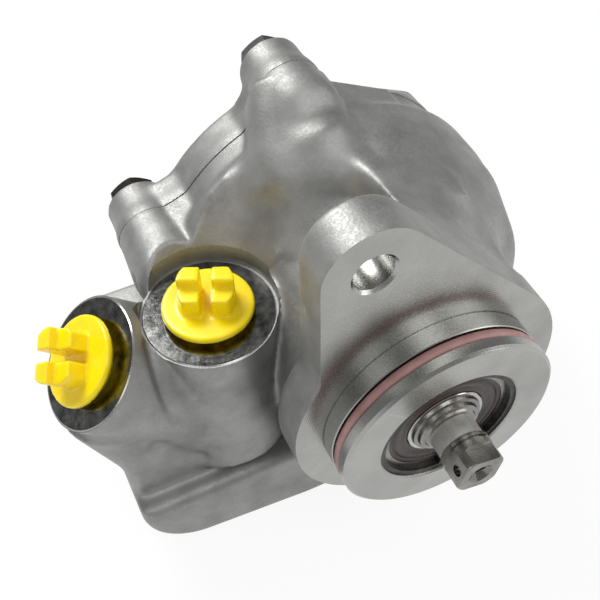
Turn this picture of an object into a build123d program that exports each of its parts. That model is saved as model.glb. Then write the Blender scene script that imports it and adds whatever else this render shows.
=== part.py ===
from build123d import *
import os
from math import acos, asin, atan2, cos, degrees, radians, sin, sqrt

# Vane-type power steering pump, flange mounted, in millimetres.
# The origin is the middle of the mounting face. The shaft lies along Y and points to -Y.
# +Z is the axis of the upright port.

# Mounting flange and pilot
pilot_diameter = 80.0
pilot_length = 15.3
pilot_chamfer = 1.0
ring_groove_from_front = 4.7
ring_groove_width = 4.3
ring_groove_depth = 2.95
flange_disc_diameter = 101.0
flange_thickness = 16.0
ear_radius = 17.2
ear_hole_diameter = 13.5
ear_hole_chamfer = 1.0
upper_ear_x = -23.8
upper_ear_z = 75.3
lower_ear_x = 18.1
lower_ear_z = -57.2
ear_blend_radius = 10.0
flange_edge_round = 2.2

# Pump pot and rear cover
pot_diameter = 132.0
pot_band_diameter = 124.8
pot_front_y = 50.0
pot_shoulder_radius = 16.0
pot_band_front_y = 84.0
parting_y = 92.0
neck_diameter = 96.0
cover_thickness = 15.0
cover_lug_rise = 1.0
cover_flat_angle = 65.0
cover_flat_distance = 55.0
cover_flat_slope = 25.0
cover_dome_diameter = 92.0
cover_dome_height = 5.0
cover_screw_circle_diameter = 137.0
cover_screw_angles = (96.7, 159.7, 238.0, 292.0, 346.0)
cover_lug_radius = 12.5
cover_lug_draft = 0.075
lug_column_front_y = 62.0
lug_column_round = 9.0
long_column_front_y = 58.0
long_column_circle_radius = 51.0
long_column_radius = 12.6
side_chamber_diameter = 130.6
side_chamber_nose_diameter = 80.0
side_chamber_waist_diameter = 118.0
side_chamber_front_y = 20.0
side_chamber_waist_y = 36.0
side_chamber_round = 7.0
side_chamber_lowest_angle = -44.0
side_chamber_highest_angle = 60.0
flank_angle = 84.0
flank_high_radius = 68.0
flank_low_radius = 63.5
flank_front_y = 29.0
flank_slant = 13.0
bridge_diameter = 106.0
bridge_front_y = 24.0
bridge_sweep = 52.0
valley_angle = 90.5
valley_radius = 10.0
valley_depth = 5.0
valley_rear_y = 72.0

# Cover screws
cover_screw_diameter = 10.0
cover_screw_hole_diameter = 10.8
cover_screw_depth = 17.0
screw_hole_runout = 1.5
cover_screw_head_across_flats = 16.0
cover_screw_head_height = 5.6
cover_screw_washer_diameter = 20.0
cover_screw_washer_thickness = 1.6

# Ports
port_spotface_diameter = 42.0
port_spotface_depth = 0.6
port_rim_width = 2.0
port_clearance_height = 30.0
port_clearance_growth = 20.0
port_rim_chamfer = 0.8
port_thread_diameter = 24.4
port_draft_degrees = 2.0
upright_port_x = -60.1
upright_port_y = 45.9
upright_port_face_z = 28.2
upright_port_depth = 18.0
outlet_drilling_diameter = 12.0
side_port_face_x = -103.1
side_port_y = 48.3
side_port_face_z = 21.8
side_port_tilt_degrees = 44.3
side_port_depth = 30.0
port_boss_length = 62.0
suction_passage_diameter = 14.0
pressure_passage_diameter = 6.0

# Valve block
block_left_x = -103.0
block_right_x = 22.0
block_bottom_z = -65.0
block_bottom_fall = 7.5
block_shelf_z = -37.0
block_top_z = 4.0
block_front_y = 18.0
block_upper_front_y = 27.0
block_rear_y = 88.0
block_corner_radius = 26.0
block_upper_right_x = -44.0
block_edge_round = 5.0
port_root_top_radius = 21.5
port_root_bottom_radius = 15.0
port_root_drop = 38.0

# Port plugs
plug_flange_diameter = 31.2
plug_flange_thickness = 2.4
plug_collar_diameter = 26.0
plug_stand_off = 2.4
plug_shank_clearance = 0.2
plug_shank_length = 9.0
plug_shank_wall = 2.0
plug_grip_height = 11.5
plug_grip_low_height = 7.5
plug_grip_diameter = 19.0
plug_grip_length = 12.0
plug_slot_width = 4.0
upright_plug_turn = 64.7
side_plug_turn = 56.0

# Shaft bearing, a deep groove ball bearing
bearing_bore = 20.0
bearing_outside_diameter = 52.0
bearing_width = 15.0
bearing_recess = 3.2
ball_diameter = 9.0
ball_circle_diameter = 36.0
ball_count = 8
race_clearance = 0.05
inner_ring_outside_diameter = 29.0
outer_ring_inside_diameter = 43.6
shield_thickness = 0.8
shield_recess = 0.5
cage_thickness = 2.4
cage_width = 11.0
cage_pocket_clearance = 0.1
snap_ring_thickness = 2.0
snap_ring_radial_width = 3.4
snap_ring_groove_depth = 1.5
snap_ring_gap_degrees = 26.0
snap_ring_gap_angle = 292.0

# Drive shaft
shaft_front_diameter = 16.6
shaft_seal_diameter = 20.0
shaft_body_diameter = 18.0
shaft_tip_projection = 19.0
tip_collar_diameter = 18.0
tip_collar_length = 4.4
tip_groove_width = 1.0
tip_groove_depth = 0.9
tip_square_width = 14.6
tip_square_length = 6.2
tip_side_flat_length = 11.0
tip_turn_degrees = 14.0
tip_cross_hole_diameter = 4.0
tip_cross_hole_from_end = 3.6
tip_centre_hole_diameter = 7.4
tip_centre_hole_depth = 6.0
spline_teeth = 10
spline_root_diameter = 15.0
spline_tooth_width = 2.6

# Shaft seal
seal_front_y = 6.0
seal_width = 7.0
seal_outside_diameter = 35.0
seal_lip_clearance = 0.05
garter_diameter = 1.6

# Pumping cartridge
cavity_diameter = 75.0
cavity_front_y = 48.0
plate_thickness = 9.0
cam_ring_width = 20.0
cam_minor_radius = 25.0
cam_rise = 2.6
rotor_diameter = 49.0
side_clearance = 0.05
vane_count = 10
vane_thickness = 1.8
vane_height = 8.6
vane_slot_depth = 11.6
vane_slot_clearance = 0.04
vane_tip_clearance = 0.3
vane_foot_diameter = 3.4
cartridge_clearance = 0.05
locating_pin_diameter = 5.0
locating_pin_circle_diameter = 63.0
locating_pin_angle = 25.0
plate_spring_gap = 2.4
wave_spring_thickness = 0.8
plate_seal_section = 2.6
cover_seal_section = 3.0
cover_seal_diameter = 84.0
bush_outside_diameter = 22.0
bush_length = 14.0
bush_clearance = 0.04
rotor_clip_thickness = 1.2
rotor_clip_depth = 1.2

# Flow control valve
valve_x = -68.0
valve_z = -36.0
valve_bore_diameter = 18.0
valve_bore_front_y = 30.0
spool_clearance = 0.03
spool_length = 28.0
spool_land_length = 7.0
spool_waist_diameter = 12.6
spool_cavity_diameter = 9.0
spool_stop_gap = 1.5
spool_front_wall = 8.0
valve_plug_thread_diameter = 22.0
valve_plug_thread_length = 12.0
valve_plug_hex_across_flats = 24.0
valve_plug_hex_height = 7.0
valve_plug_flange_diameter = 26.0
valve_plug_seal_section = 2.0
valve_spring_wire = 1.8
valve_spring_diameter = 12.4
valve_spring_turns = 6
relief_ball_diameter = 5.0
relief_seat_bore = 3.4
relief_seat_length = 6.0
relief_travel = 1.2
relief_spring_wire = 0.9
relief_spring_diameter = 5.6
relief_spring_turns = 5

# Places worked out from the sizes above
pilot_radius = pilot_diameter / 2
pilot_front_y = -pilot_length
bearing_front_y = pilot_front_y + bearing_recess
bearing_rear_y = bearing_front_y + bearing_width
cavity_radius = cavity_diameter / 2
cartridge_radius = cavity_radius - cartridge_clearance
front_plate_y = cavity_front_y + plate_spring_gap
cam_front_y = front_plate_y + plate_thickness
cam_rear_y = cam_front_y + cam_ring_width
rear_plate_rear_y = cam_rear_y + plate_thickness
cover_rear_y = parting_y + cover_thickness
lug_rear_y = cover_rear_y + cover_lug_rise
shaft_rear_y = cover_rear_y - 4.0
screw_radius = cover_screw_circle_diameter / 2
upper_ear = (upper_ear_x, upper_ear_z)
lower_ear = (lower_ear_x, lower_ear_z)
valve_axis_place = (valve_x, 0.0, valve_z)
groove_front_y = pilot_front_y + ring_groove_from_front
groove_rear_y = groove_front_y + ring_groove_width


def slab(sketch, front_y, rear_y):
    """A sketch drawn in X and Z, as a solid from front_y to rear_y."""
    return extrude(Plane.XZ.offset(-rear_y) * sketch, amount=rear_y - front_y)


def disc(radius, front_y, rear_y, x=0.0, z=0.0):
    return slab(Pos(x, z) * Circle(radius), front_y, rear_y)


def ring(outer_radius, inner_radius, front_y, rear_y):
    return slab(Circle(outer_radius) - Circle(inner_radius), front_y, rear_y)


def turned(profile, sweep=360.0):
    """A solid turned about the shaft axis from a profile of (radius, y)."""
    return revolve(profile, axis=Axis.Y, revolution_arc=sweep)


def polar(radius, angle):
    return (radius * cos(radians(angle)), radius * sin(radians(angle)))


def about_shaft(shape, angle):
    """Turn a shape about the shaft so that +X goes to the given angle, measured towards +Z."""
    return Rot(0, -angle, 0) * shape


def o_ring(centre_radius, section, y):
    return turned(Pos(centre_radius, y) * Circle(section / 2))


def tangent_points(centre_a, radius_a, centre_b, radius_b, side):
    """Where the outer tangent of two circles touches each of them."""
    dx = centre_b[0] - centre_a[0]
    dz = centre_b[1] - centre_a[1]
    turn = atan2(dz, dx) + side * acos((radius_a - radius_b) / sqrt(dx * dx + dz * dz))
    touch_a = (centre_a[0] + radius_a * cos(turn), centre_a[1] + radius_a * sin(turn))
    touch_b = (centre_b[0] + radius_b * cos(turn), centre_b[1] + radius_b * sin(turn))
    return touch_a, touch_b


# Housing

def flange_outline():
    disc_radius = flange_disc_diameter / 2
    outline = Circle(disc_radius)
    disc_touch, ear_touch = tangent_points((0, 0), disc_radius, upper_ear, ear_radius, -1)
    ear_left_x = upper_ear_x - ear_radius
    neck = make_face(Polyline([(0, 0), disc_touch, ear_touch, upper_ear, (ear_left_x, upper_ear_z),
                               (ear_left_x, 0)], close=True))
    outline += neck
    outline += Pos(*upper_ear) * Circle(ear_radius)
    right = tangent_points((0, 0), disc_radius, lower_ear, ear_radius, 1)
    left = tangent_points((0, 0), disc_radius, lower_ear, ear_radius, -1)
    outline += make_face(Polyline([(0, 0), right[0], right[1], lower_ear, left[1], left[0]], close=True))
    outline += Pos(*lower_ear) * Circle(ear_radius)
    corner_z = sqrt(disc_radius ** 2 - ear_left_x ** 2)
    corner = outline.vertices().sort_by_distance(Vertex(ear_left_x, corner_z, 0))[0]
    return fillet(corner, ear_blend_radius)


def flange():
    plate = slab(flange_outline(), 0, flange_thickness)
    rear_edges = plate.faces().sort_by(Axis.Y)[-1].edges()
    return fillet(rear_edges, flange_edge_round)


def pilot():
    body = disc(pilot_radius, pilot_front_y, flange_thickness / 2)
    body = chamfer(body.faces().sort_by(Axis.Y)[0].edges(), pilot_chamfer)
    groove = ring(pilot_radius + 1, pilot_radius - ring_groove_depth, groove_front_y, groove_rear_y)
    return body - groove


def pot():
    """The round pump chamber, swelling out in front of the band that meets the cover."""
    band = pot_band_diameter / 2
    swell = pot_diameter / 2
    profile = make_face(Polyline([(0, pot_front_y), (swell, pot_front_y), (swell, pot_band_front_y - 5),
                                  (band, pot_band_front_y), (band, parting_y), (0, parting_y)], close=True))
    shoulder = profile.vertices().sort_by_distance(Vertex(swell, pot_front_y, 0))[0]
    profile = fillet(shoulder, pot_shoulder_radius)
    crest = profile.vertices().sort_by_distance(Vertex(swell, pot_band_front_y - 5, 0))[0]
    profile = fillet(crest, 6.0)
    return turned(profile)


def neck():
    radius = neck_diameter / 2
    profile = make_face(Polyline([(0, flange_thickness - 2), (radius - 4, flange_thickness - 2),
                                  (radius, pot_front_y + 6), (0, pot_front_y + 6)], close=True))
    return turned(profile)


def sector(profile, lowest_angle, highest_angle):
    """A turned piece between two angles about the shaft."""
    return about_shaft(turned(profile, highest_angle - lowest_angle), highest_angle)


def side_chamber():
    """The chamber that runs forward from the pot along its right-hand side."""
    nose = side_chamber_nose_diameter / 2
    waist = side_chamber_waist_diameter / 2
    crest = side_chamber_diameter / 2
    band = pot_band_diameter / 2
    profile = make_face(Polyline([(0, side_chamber_front_y), (nose, side_chamber_front_y),
                                  (waist, side_chamber_waist_y), (crest, side_chamber_waist_y + 20),
                                  (crest, side_chamber_waist_y + 28), (band, pot_band_front_y),
                                  (0, pot_band_front_y)], close=True))
    for place in ((nose, side_chamber_front_y), (waist, side_chamber_waist_y)):
        corner = profile.vertices().sort_by_distance(Vertex(*place, 0))[0]
        profile = fillet(corner, side_chamber_round)
    return sector(profile, side_chamber_lowest_angle, side_chamber_highest_angle)


def flank():
    """The flat flank between the side chamber and the column of the top screw."""
    low = polar(flank_low_radius, side_chamber_highest_angle)
    high = polar(flank_high_radius, flank_angle)
    outline = make_face(Polyline([(0, 0), low, high], close=True))
    body = slab(outline, flank_front_y, parting_y)
    reach = 4 * flank_high_radius
    waste = Box(reach, 100, reach, align=(Align.CENTER, Align.MAX, Align.CENTER))
    body -= Pos(low[0], flank_front_y, 0) * Rot(0, 0, -degrees(atan2(flank_slant, low[0] - high[0]))) * waste
    return body


def bridge():
    """The lower web over the top of the neck, between the side chamber and the pot."""
    radius = bridge_diameter / 2
    rear = pot_front_y + 20
    profile = make_face(Polyline([(0, bridge_front_y), (radius, bridge_front_y), (radius, rear), (0, rear)],
                                 close=True))
    nose = profile.vertices().sort_by_distance(Vertex(radius, bridge_front_y, 0))[0]
    profile = fillet(nose, side_chamber_round * 2)
    lowest = side_chamber_highest_angle - 2
    return sector(profile, lowest, lowest + bridge_sweep)


def valley():
    """The hollow that parts the flank from the swell of the pot."""
    x, z = polar(pot_diameter / 2 + valley_radius - valley_depth, valley_angle)
    run = disc(valley_radius, pot_front_y - 20, valley_rear_y, x, z)
    return run + Pos(x, valley_rear_y, z) * Sphere(valley_radius)


def drafted_column(x, z, front_y, rear_y):
    """A round column along Y whose radius grows towards the front."""
    front_radius = cover_lug_radius + (parting_y - front_y) * cover_lug_draft
    rear_radius = cover_lug_radius + (parting_y - rear_y) * cover_lug_draft
    column = Cone(front_radius, rear_radius, rear_y - front_y,
                  align=(Align.CENTER, Align.CENTER, Align.MIN))
    return Pos(x, front_y, z) * Rot(-90, 0, 0) * column


def lug_web(angle, front_y, rear_y):
    """The web that ties a screw lug to the round rim on both sides."""
    rim = pot_band_diameter / 2
    half = degrees(asin(cover_lug_radius / screw_radius))
    foot_a = polar(rim, angle - half - 7)
    foot_b = polar(rim, angle + half + 7)
    tip_a = polar(screw_radius, angle - half * 0.97)
    tip_b = polar(screw_radius, angle + half * 0.97)
    outline = make_face(Polyline([(0, 0), foot_a, tip_a, polar(screw_radius, angle), tip_b, foot_b],
                                 close=True))
    return slab(outline, front_y, rear_y)


def lug_column(angle):
    """A screw boss on the pot with a rounded front end."""
    x, z = polar(screw_radius, angle)
    if angle != cover_screw_angles[0]:
        column = drafted_column(x, z, lug_column_front_y, parting_y)
        return fillet(column.faces().sort_by(Axis.Y)[0].edges(), lug_column_round)
    bend_y = parting_y - cover_screw_depth - screw_hole_runout
    end_x, end_z = polar(long_column_circle_radius, angle)
    rear = Vector(x, bend_y, z)
    front = Vector(end_x, long_column_front_y, end_z)
    run = Cylinder(long_column_radius, (front - rear).length,
                   align=(Align.CENTER, Align.CENTER, Align.MIN))
    run = Plane(origin=rear, z_dir=front - rear).location * run
    straight = drafted_column(x, z, bend_y, parting_y)
    straight = fillet(straight.faces().sort_by(Axis.Y)[0].edges(), lug_column_round / 2)
    return straight + run


def port_plane(name):
    """A plane on a port's sealing face, looking out along the port."""
    if name == "upright":
        return Plane(origin=(upright_port_x, upright_port_y, upright_port_face_z),
                     x_dir=(1, 0, 0), z_dir=(0, 0, 1))
    tilt = radians(side_port_tilt_degrees)
    return Plane(origin=(side_port_face_x, side_port_y, side_port_face_z),
                 x_dir=(0, 1, 0), z_dir=(-sin(tilt), 0, cos(tilt)))


def port_boss(name):
    top_radius = port_spotface_diameter / 2 + port_rim_width
    bottom_radius = top_radius + port_boss_length * sin(radians(port_draft_degrees))
    boss = Cone(bottom_radius, top_radius, port_boss_length, align=(Align.CENTER, Align.CENTER, Align.MAX))
    boss = chamfer(boss.edges().sort_by(Axis.Z)[-1], port_rim_chamfer)
    return port_plane(name).location * boss


def port_cuts(name, depth):
    radius = port_spotface_diameter / 2
    spotface = Cylinder(radius, port_spotface_depth + 0.5, align=(Align.CENTER, Align.CENTER, Align.MIN))
    clearance = Cone(radius, radius + port_clearance_growth, port_clearance_height,
                     align=(Align.CENTER, Align.CENTER, Align.MIN))
    spotface += Pos(0, 0, port_spotface_depth) * clearance
    bore = Cylinder(port_thread_diameter / 2, depth, align=(Align.CENTER, Align.CENTER, Align.MAX))
    tip = Cone(0, port_thread_diameter / 2, port_thread_diameter / 5,
               align=(Align.CENTER, Align.CENTER, Align.MAX))
    bore += Pos(0, 0, -depth) * tip
    return port_plane(name).location * (Pos(0, 0, -port_spotface_depth) * spotface + bore)


def side_port_root():
    """The metal under the side port that runs down into the block."""
    x = side_port_face_x + port_root_top_radius * 0.3
    foot = Vector(x + 8, side_port_y - 2, 2 - port_root_drop)
    head = Vector(x, side_port_y, 2)
    root = Cone(port_root_bottom_radius, port_root_top_radius, (head - foot).length,
                align=(Align.CENTER, Align.CENTER, Align.MIN))
    return Plane(origin=foot, z_dir=head - foot).location * root


def valve_block():
    """The cast block under the ports that holds the flow control valve."""
    lower = make_face(Polyline([(block_left_x, block_shelf_z), (block_right_x, block_shelf_z),
                                (block_right_x, block_bottom_z - block_bottom_fall),
                                (block_right_x - 60, block_bottom_z - block_bottom_fall),
                                (block_left_x, block_bottom_z)], close=True))
    corner = lower.vertices().sort_by_distance(Vertex(block_left_x, block_bottom_z, 0))[0]
    lower = fillet(corner, block_corner_radius)
    base = slab(lower, block_front_y, block_rear_y)
    base = fillet(base.faces().sort_by(Axis.Y)[0].edges(), block_edge_round)
    upper = make_face(Polyline([(block_left_x, block_shelf_z - 8), (block_left_x, block_top_z - 10),
                                (block_left_x + 14, block_top_z), (block_upper_right_x, block_top_z),
                                (block_upper_right_x, block_shelf_z - 8)], close=True))
    top = slab(upper, block_upper_front_y, block_rear_y)
    top = fillet(top.faces().sort_by(Axis.Y)[0].edges(), block_edge_round)
    return base + top


def ear_holes():
    cuts = []
    for x, z in (upper_ear, lower_ear):
        hole = disc(ear_hole_diameter / 2, -1, flange_thickness + 1, x, z)
        mouth = Pos(x, 0, z) * Rot(90, 0, 0) * Cone(
            ear_hole_diameter / 2, ear_hole_diameter / 2 + ear_hole_chamfer, ear_hole_chamfer,
            align=(Align.CENTER, Align.CENTER, Align.MAX))
        cuts.append(hole + mouth)
    return cuts


def shaft_passage():
    """Every bore on the shaft axis, from the pilot to the pumping cavity."""
    bearing_bore_radius = bearing_outside_diameter / 2
    cuts = disc(bearing_bore_radius, pilot_front_y - 1, bearing_rear_y)
    cuts += ring(bearing_bore_radius + snap_ring_groove_depth, bearing_bore_radius - 1,
                 bearing_front_y - snap_ring_thickness, bearing_front_y)
    cuts += disc(inner_ring_outside_diameter / 2 + 1.5, bearing_rear_y - 1, seal_front_y)
    cuts += disc(seal_outside_diameter / 2, seal_front_y - 1, seal_front_y + seal_width)
    cuts += disc(shaft_seal_diameter / 2 + 1.5, seal_front_y, cavity_front_y + 1)
    cuts += disc(cavity_radius, cavity_front_y, parting_y + 1)
    return cuts


def drilling(start, end, diameter):
    """A straight drilled passage between two places."""
    path = Plane(origin=start, z_dir=end - start)
    return path.location * Cylinder(diameter / 2, (end - start).length,
                                    align=(Align.CENTER, Align.CENTER, Align.MIN))


def passages():
    """Port to valve, suction port to pump chamber, and pump chamber to valve."""
    upright_face = Vector(upright_port_x, upright_port_y, upright_port_face_z)
    outlet_foot = Vector(upright_port_x, upright_port_y, valve_z)
    outlet = drilling(upright_face, outlet_foot, outlet_drilling_diameter)
    side_face = port_plane("side")
    inlet_start = side_face.origin - side_face.z_dir * (side_port_depth - 4)
    inlet_end = Vector(-cavity_radius + 1, cam_rear_y, -2)
    inlet = drilling(inlet_start, inlet_end, suction_passage_diameter)
    pressure_start = Vector(-cavity_radius + 9, cavity_front_y + 1, valve_z / 2)
    pressure_end = Vector(valve_x, cavity_front_y + 1, valve_z)
    pressure = drilling(pressure_start, pressure_end, pressure_passage_diameter)
    return [outlet, inlet, pressure]


def pump_end():
    """The round end of the casting, with its screw columns."""
    body = pot() - valley()
    for cast_piece in (side_chamber(), flank(), bridge()):
        body += cast_piece
    for angle in cover_screw_angles:
        body += lug_web(angle, pot_band_front_y - 6, parting_y)
        body += lug_column(angle)
    return body


def port_end():
    """The port bosses and the block under them."""
    body = valve_block()
    for cast_piece in (port_boss("side"), port_boss("upright"), side_port_root()):
        body += cast_piece
    return body


def housing():
    body = pump_end()
    for cast_piece in (port_end(), neck(), flange(), pilot()):
        body += cast_piece
    body -= shaft_passage()
    body -= port_cuts("upright", upright_port_depth)
    body -= port_cuts("side", side_port_depth)
    for cut in ear_holes() + passages():
        body -= cut
    for angle in cover_screw_angles:
        x, z = polar(screw_radius, angle)
        body -= disc(cover_screw_diameter / 2, parting_y - cover_screw_depth - screw_hole_runout, parting_y + 1, x, z)
    body -= disc(valve_bore_diameter / 2, valve_bore_front_y, block_rear_y + 1, valve_x, valve_z)
    body -= disc(valve_plug_thread_diameter / 2, block_rear_y - valve_plug_thread_length,
                 block_rear_y + 1, valve_x, valve_z)
    return body


# Cover, seals and screws

def cover_flat():
    """What is taken off the cover's rim beside the top screw, sloping in towards the rear."""
    waste = Box(80, 80, 120, align=(Align.MIN, Align.CENTER, Align.CENTER))
    waste = Rot(0, 0, cover_flat_slope) * waste
    return about_shaft(Pos(cover_flat_distance, cover_rear_y, 0) * waste, cover_flat_angle)


def rear_cover():
    plate = disc(pot_band_diameter / 2, parting_y, cover_rear_y)
    plate = fillet(plate.faces().sort_by(Axis.Y)[-1].edges(), 2.0)
    plate -= cover_flat()
    for angle in cover_screw_angles:
        x, z = polar(screw_radius, angle)
        lug = drafted_column(x, z, parting_y, lug_rear_y)
        lug = chamfer(lug.faces().sort_by(Axis.Y)[-1].edges(), 0.8)
        plate += lug_web(angle, parting_y, cover_rear_y - 1.5) + lug
    dome = disc(cover_dome_diameter / 2, cover_rear_y - 2, cover_rear_y + cover_dome_height)
    dome = fillet(dome.faces().sort_by(Axis.Y)[-1].edges(), 4.0)
    cover = plate + dome
    spigot_front = rear_plate_rear_y
    cover += disc(cartridge_radius, spigot_front, parting_y + 1)
    cover -= disc(bush_outside_diameter / 2, spigot_front - 1, spigot_front + bush_length + 1)
    seal_groove = turned(Pos(cover_seal_diameter / 2, parting_y) * Rectangle(
        cover_seal_section, cover_seal_section * 2))
    cover -= seal_groove
    for angle in cover_screw_angles:
        x, z = polar(screw_radius, angle)
        cover -= disc(cover_screw_hole_diameter / 2, parting_y - 1, lug_rear_y + 1, x, z)
    for angle in (locating_pin_angle, locating_pin_angle + 180):
        x, z = polar(locating_pin_circle_diameter / 2, angle)
        cover -= disc(locating_pin_diameter / 2, spigot_front - 1, spigot_front + 6, x, z)
    return cover


def cover_seal():
    return o_ring(cover_seal_diameter / 2, cover_seal_section, parting_y + cover_seal_section / 2)


def cover_screw(angle):
    x, z = polar(screw_radius, angle)
    head_front = lug_rear_y + cover_screw_washer_thickness
    shank = disc(cover_screw_diameter / 2, parting_y - cover_screw_depth, lug_rear_y, x, z)
    washer = disc(cover_screw_washer_diameter / 2, lug_rear_y, head_front, x, z)
    head_outline = Pos(x, z) * RegularPolygon(cover_screw_head_across_flats / 2, 6, major_radius=False)
    head = slab(head_outline, head_front, head_front + cover_screw_head_height)
    head = chamfer(head.faces().sort_by(Axis.Y)[-1].edges(), 0.8)
    return shank + washer + head


def cover_screws():
    return Compound(children=[cover_screw(angle) for angle in cover_screw_angles])


def pilot_o_ring():
    section = ring_groove_depth
    return o_ring(pilot_radius - section / 2, section, (groove_front_y + groove_rear_y) / 2)


# Ball bearing and shaft seal

def ball_race():
    y = bearing_front_y + bearing_width / 2
    return turned(Pos(ball_circle_diameter / 2, y) * Circle(ball_diameter / 2 + race_clearance))


def bearing_ring(outer_radius, inner_radius, round_outside):
    body = ring(outer_radius, inner_radius, bearing_front_y, bearing_rear_y)
    seat_radius = outer_radius if round_outside else inner_radius
    seat_edges = body.edges().filter_by(lambda edge: abs(edge.radius - seat_radius) < 0.01
                                        if edge.geom_type == GeomType.CIRCLE else False)
    return chamfer(seat_edges, 0.8) - ball_race()


def bearing_outer_ring():
    return bearing_ring(bearing_outside_diameter / 2, outer_ring_inside_diameter / 2, True)


def bearing_inner_ring():
    return bearing_ring(inner_ring_outside_diameter / 2, bearing_bore / 2, False)


def ball_places():
    y = bearing_front_y + bearing_width / 2
    for number in range(ball_count):
        x, z = polar(ball_circle_diameter / 2, 360 / ball_count * number)
        yield Pos(x, y, z)


def bearing_balls():
    return Compound(children=[place * Sphere(ball_diameter / 2) for place in ball_places()])


def bearing_cage():
    middle = ball_circle_diameter / 2
    y = bearing_front_y + bearing_width / 2
    cage = ring(middle + cage_thickness / 2, middle - cage_thickness / 2, y - cage_width / 2,
                y + cage_width / 2)
    for number in range(ball_count):
        pocket = Cylinder(ball_diameter / 2 + cage_pocket_clearance, cage_thickness * 3)
        pocket = Pos(middle, y, 0) * Rot(0, 90, 0) * pocket
        cage -= about_shaft(pocket, 360 / ball_count * number)
    return cage


def bearing_shield():
    """The rubber-faced shield that closes the bearing at the front."""
    y = bearing_front_y + shield_recess
    outer = outer_ring_inside_diameter / 2
    inner = inner_ring_outside_diameter / 2 + 0.1
    profile = make_face(Polyline([(inner, y), (inner + 2, y), (inner + 2.6, y - 0.3),
                                  (outer - 2.2, y - 0.3), (outer - 1.6, y), (outer, y),
                                  (outer, y + shield_thickness), (inner, y + shield_thickness)], close=True))
    return turned(profile)


def bearing_snap_ring():
    outer = bearing_outside_diameter / 2 + snap_ring_groove_depth
    inner = outer - snap_ring_radial_width
    clip = Circle(outer) - Circle(inner)
    half = snap_ring_gap_degrees / 2
    for side in (-1, 1):
        lug_angle = snap_ring_gap_angle + side * (half + 5)
        clip += Pos(*polar(inner + 0.4, lug_angle)) * Circle(3.0)
    clip &= Circle(outer)
    reach = outer + 5
    clip -= make_face(Polyline([(0, 0), polar(reach, snap_ring_gap_angle - half),
                                polar(reach, snap_ring_gap_angle + half)], close=True))
    for side in (-1, 1):
        lug_angle = snap_ring_gap_angle + side * (half + 5)
        clip -= Pos(*polar(inner - 0.2, lug_angle)) * Circle(1.1)
    return slab(clip, bearing_front_y - snap_ring_thickness, bearing_front_y)


def shaft_seal():
    outer = seal_outside_diameter / 2
    lip = shaft_seal_diameter / 2 + seal_lip_clearance
    y = seal_front_y
    profile = make_face(Polyline([(outer, y), (outer, y + seal_width), (outer - 2, y + seal_width),
                                  (outer - 2, y + 2), (lip + 2.6, y + 2), (lip + 2.0, y + 5.2),
                                  (lip, y + 4.4), (lip + 1.0, y)], close=True))
    return turned(profile)


def shaft_seal_spring():
    lip = shaft_seal_diameter / 2 + seal_lip_clearance
    return o_ring(lip + 2.45 + garter_diameter / 2, garter_diameter, seal_front_y + 4.2)


# Drive shaft

def splined_section(clearance):
    """The outline of the shaft spline, grown by a clearance for the hub."""
    root = Circle(spline_root_diameter / 2 + clearance)
    for number in range(spline_teeth):
        tooth = Rectangle(shaft_body_diameter / 2 + clearance, spline_tooth_width + 2 * clearance,
                          align=(Align.MIN, Align.CENTER))
        root += Rot(0, 0, 360 / spline_teeth * number) * tooth
    return root


def drive_shaft():
    front_y = pilot_front_y - shaft_tip_projection
    collar_rear = front_y + tip_square_length + tip_collar_length
    profile = make_face(Polyline([
        (0, front_y), (tip_collar_diameter / 2 - 0.6, front_y), (tip_collar_diameter / 2, front_y + 0.6),
        (tip_collar_diameter / 2, collar_rear), (shaft_front_diameter / 2, collar_rear + 0.7),
        (shaft_front_diameter / 2, bearing_front_y + 0.6), (bearing_bore / 2, bearing_front_y + 1.4),
        (bearing_bore / 2, seal_front_y + seal_width + 2), (shaft_body_diameter / 2, seal_front_y + seal_width + 3),
        (shaft_body_diameter / 2, shaft_rear_y - 1), (shaft_body_diameter / 2 - 1, shaft_rear_y),
        (0, shaft_rear_y)], close=True))
    shaft = turned(profile)
    groove_y = collar_rear - 1.2
    shaft -= ring(tip_collar_diameter / 2 + 1, tip_collar_diameter / 2 - tip_groove_depth,
                  groove_y - tip_groove_width, groove_y)
    shaft -= ring(shaft_body_diameter / 2 + 1, shaft_body_diameter / 2 - rotor_clip_depth,
                  cam_rear_y + side_clearance, cam_rear_y + side_clearance + rotor_clip_thickness)
    waste = Circle(tip_collar_diameter) - Rectangle(tip_collar_diameter * 2, tip_square_width)
    waste = slab(waste, front_y - 1, front_y + tip_square_length)
    side_waste = Circle(tip_collar_diameter) - Rectangle(tip_square_width, tip_collar_diameter * 2)
    side_waste = slab(side_waste, front_y - 1, front_y + tip_side_flat_length)
    hole_y = front_y + tip_cross_hole_from_end
    cross_hole = Pos(0, hole_y, 0) * Rot(0, 90, 0) * Cylinder(
        tip_cross_hole_diameter / 2, tip_collar_diameter * 2)
    centre_hole = disc(tip_centre_hole_diameter / 2 - 1.4, front_y - 1, front_y + tip_centre_hole_depth)
    mouth = turned(make_face(Polyline([(0, front_y - 1), (tip_centre_hole_diameter / 2 + 0.8, front_y - 1),
                                       (tip_centre_hole_diameter / 2 - 1.4, front_y + 2.2),
                                       (0, front_y + 2.2)], close=True)))
    shaft -= Rot(0, tip_turn_degrees, 0) * (waste + side_waste + cross_hole)
    shaft -= centre_hole + mouth
    spline_waste = Circle(shaft_body_diameter / 2 + 1) - splined_section(0)
    shaft -= slab(spline_waste, cam_front_y - 2, cam_rear_y + side_clearance)
    return shaft


# Pumping cartridge

def cam_profile_radius(angle):
    """The cam ring's inner radius: two rises and two falls in a turn."""
    wave = (1 - cos(2 * radians(angle))) / 2
    return cam_minor_radius + cam_rise * wave


def cam_curve():
    steps = 24
    points = [polar(cam_profile_radius(360 / steps * step), 360 / steps * step) for step in range(steps)]
    return make_face(Spline(points, periodic=True))


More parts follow.
